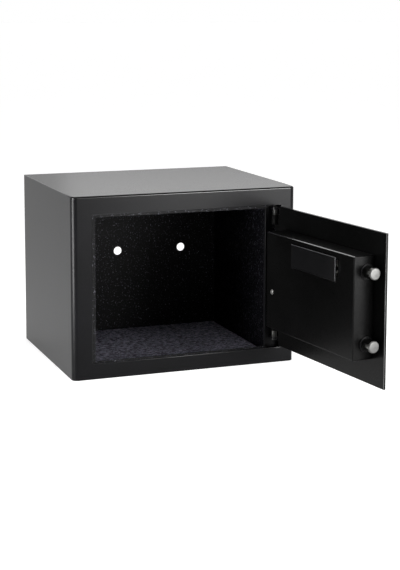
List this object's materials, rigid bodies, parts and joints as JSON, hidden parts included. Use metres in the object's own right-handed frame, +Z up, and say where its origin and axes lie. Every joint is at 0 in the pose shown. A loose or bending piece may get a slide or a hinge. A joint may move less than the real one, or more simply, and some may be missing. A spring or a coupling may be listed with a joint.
{
  "type": "electronic safe",
  "caption": "Small steel safe standing open: bent body with a hinged door, round sliding bolts, lock cover, battery bay, solenoid, keypad, turning knob and emergency key lock.",
  "frame": {"origin": "centre of the body's footprint, on the floor that it stands on", "axes": "+X to the right seen from the front, +Y from the open front towards the back panel, +Z up; the door is at rest as pictured, opened 96.6 degrees to the right"},
  "size_m": [0.3458, 0.5197, 0.25],
  "materials": {
    "body_paint": "dark grey powder coat, satin, fine orange-peel",
    "door_paint": "near-black powder coat, satin",
    "zinc": "zinc-plated steel, dull",
    "chrome": "bright plated steel",
    "felt": "needle felt, dark grey with a lavender fleck",
    "black_plastic": "black moulded plastic, fine grain",
    "pale_plastic": "pale grey moulded plastic",
    "key_plastic": "dark grey silicone keys with plain numbers",
    "brass": "machined brass",
    "copper": "bronze contact strip",
    "circuit_board": "green fibreglass board with soldered parts",
    "cell": "plain shrink sleeve on a dry cell"
  },
  "bodies": {
    "safe": {"body_shell": "body_paint", "back_panel": "body_paint", "stop_frame": "body_paint", "hinge_strip": "body_paint", "side_liner": "body_paint", "hinge_lug_upper": "body_paint", "hinge_lug_lower": "body_paint", "hinge_pin_upper": "zinc", "hinge_pin_lower": "zinc", "hinge_spacer": "zinc", "floor_mat": "felt"},
    "door": {"door_plate": "door_paint", "door_knuckle_upper": "door_paint", "door_knuckle_lower": "door_paint", "lock_cover": "door_paint", "cover_tab_outer": "door_paint", "cover_tab_inner": "door_paint", "cover_screw_outer": "zinc", "cover_screw_inner": "zinc", "bolt_bush_upper": "black_plastic", "bolt_bush_lower": "black_plastic", "guide_pin_upper": "zinc", "guide_pin_lower": "zinc", "solenoid_body": "zinc", "solenoid_spring": "zinc", "battery_tray": "black_plastic", "battery_1": "cell", "battery_2": "cell", "battery_3": "cell", "battery_4": "cell", "battery_contact_free": "copper", "battery_contact_hinge": "copper", "control_board": "circuit_board", "keypad_housing": "black_plastic", "keypad_board": "circuit_board", "ribbon_cable": "pale_plastic", "lock_cylinder": "chrome"},
    "bolt_work": {"bolt_carrier": "zinc", "bolt_upper": "chrome", "bolt_lower": "chrome"},
    "knob_work": {"knob": "black_plastic", "spindle_crank": "zinc"},
    "plunger": {"solenoid_plunger": "chrome"},
    "battery_door": {"battery_cover": "black_plastic"},
    "reset": {"reset_button": "pale_plastic"},
    "cap_1": {"key_1": "key_plastic"},
    "cap_2": {"key_2": "key_plastic"},
    "cap_3": {"key_3": "key_plastic"},
    "cap_4": {"key_4": "key_plastic"},
    "cap_5": {"key_5": "key_plastic"},
    "cap_6": {"key_6": "key_plastic"},
    "cap_7": {"key_7": "key_plastic"},
    "cap_8": {"key_8": "key_plastic"},
    "cap_9": {"key_9": "key_plastic"},
    "cap_0": {"key_0": "key_plastic"},
    "cap_a": {"key_a": "key_plastic"},
    "cap_b": {"key_b": "key_plastic"},
    "key_lock": {"lock_plug": "brass"},
    "shutter": {"keyhole_shutter": "chrome"}
  },
  "joints": [
    {"name": "door_hinge", "type": "hinge", "parent": "safe", "child": "door", "pos_m": [0.1342, -0.125, 0.1], "axis": [0, 0, 1], "range_deg": [-96.6, 13.4]},
    {"name": "bolt_slide", "type": "slide", "parent": "door", "child": "bolt_work", "axis": [0.1149, -0.9934, 0], "range_m": [0, 0.018]},
    {"name": "knob_turn", "type": "hinge", "parent": "door", "child": "knob_work", "pos_m": [0.14793, -0.22629, 0.0951], "axis": [0.9934, 0.1149, 0], "range_deg": [0, 90]},
    {"name": "plunger_slide", "type": "slide", "parent": "door", "child": "plunger", "axis": [0, 0, 1], "range_m": [0, 0.004], "stiffness_N_per_m": 50, "springref_m": -0.006, "deforming": ["solenoid_spring"]},
    {"name": "battery_cover_tilt", "type": "hinge", "parent": "door", "child": "battery_door", "pos_m": [0.11593, -0.21943, 0.16935], "axis": [0, 0, -1], "range_deg": [0, 70]},
    {"name": "reset_button_press", "type": "slide", "parent": "door", "child": "reset", "axis": [0.9934, 0.1149, 0], "range_m": [0, 0.0015], "stiffness_N_per_m": 600, "springref_m": -0.0005},
    {"name": "key_1_press", "type": "slide", "parent": "door", "child": "cap_1", "axis": [-0.9934, -0.1149, 0], "range_m": [0, 0.001], "stiffness_N_per_m": 600, "springref_m": -0.0005},
    {"name": "key_2_press", "type": "slide", "parent": "door", "child": "cap_2", "axis": [-0.9934, -0.1149, 0], "range_m": [0, 0.001], "stiffness_N_per_m": 600, "springref_m": -0.0005},
    {"name": "key_3_press", "type": "slide", "parent": "door", "child": "cap_3", "axis": [-0.9934, -0.1149, 0], "range_m": [0, 0.001], "stiffness_N_per_m": 600, "springref_m": -0.0005},
    {"name": "key_4_press", "type": "slide", "parent": "door", "child": "cap_4", "axis": [-0.9934, -0.1149, 0], "range_m": [0, 0.001], "stiffness_N_per_m": 600, "springref_m": -0.0005},
    {"name": "key_5_press", "type": "slide", "parent": "door", "child": "cap_5", "axis": [-0.9934, -0.1149, 0], "range_m": [0, 0.001], "stiffness_N_per_m": 600, "springref_m": -0.0005},
    {"name": "key_6_press", "type": "slide", "parent": "door", "child": "cap_6", "axis": [-0.9934, -0.1149, 0], "range_m": [0, 0.001], "stiffness_N_per_m": 600, "springref_m": -0.0005},
    {"name": "key_7_press", "type": "slide", "parent": "door", "child": "cap_7", "axis": [-0.9934, -0.1149, 0], "range_m": [0, 0.001], "stiffness_N_per_m": 600, "springref_m": -0.0005},
    {"name": "key_8_press", "type": "slide", "parent": "door", "child": "cap_8", "axis": [-0.9934, -0.1149, 0], "range_m": [0, 0.001], "stiffness_N_per_m": 600, "springref_m": -0.0005},
    {"name": "key_9_press", "type": "slide", "parent": "door", "child": "cap_9", "axis": [-0.9934, -0.1149, 0], "range_m": [0, 0.001], "stiffness_N_per_m": 600, "springref_m": -0.0005},
    {"name": "key_0_press", "type": "slide", "parent": "door", "child": "cap_0", "axis": [-0.9934, -0.1149, 0], "range_m": [0, 0.001], "stiffness_N_per_m": 600, "springref_m": -0.0005},
    {"name": "key_a_press", "type": "slide", "parent": "door", "child": "cap_a", "axis": [-0.9934, -0.1149, 0], "range_m": [0, 0.001], "stiffness_N_per_m": 600, "springref_m": -0.0005},
    {"name": "key_b_press", "type": "slide", "parent": "door", "child": "cap_b", "axis": [-0.9934, -0.1149, 0], "range_m": [0, 0.001], "stiffness_N_per_m": 600, "springref_m": -0.0005},
    {"name": "lock_plug_turn", "type": "hinge", "parent": "door", "child": "key_lock", "pos_m": [0.14793, -0.22629, 0.1401], "axis": [0.9934, 0.1149, 0], "range_deg": [-90, 0]},
    {"name": "keyhole_shutter_swing", "type": "hinge", "parent": "door", "child": "shutter", "pos_m": [0.16462, -0.22436, 0.1541], "axis": [0.9934, 0.1149, 0], "range_deg": [-100, 100]}
  ],
  "couplings": [
    {"joint": "knob_turn", "follows": "bolt_slide", "rad_per_m": 87.266}
  ]
}
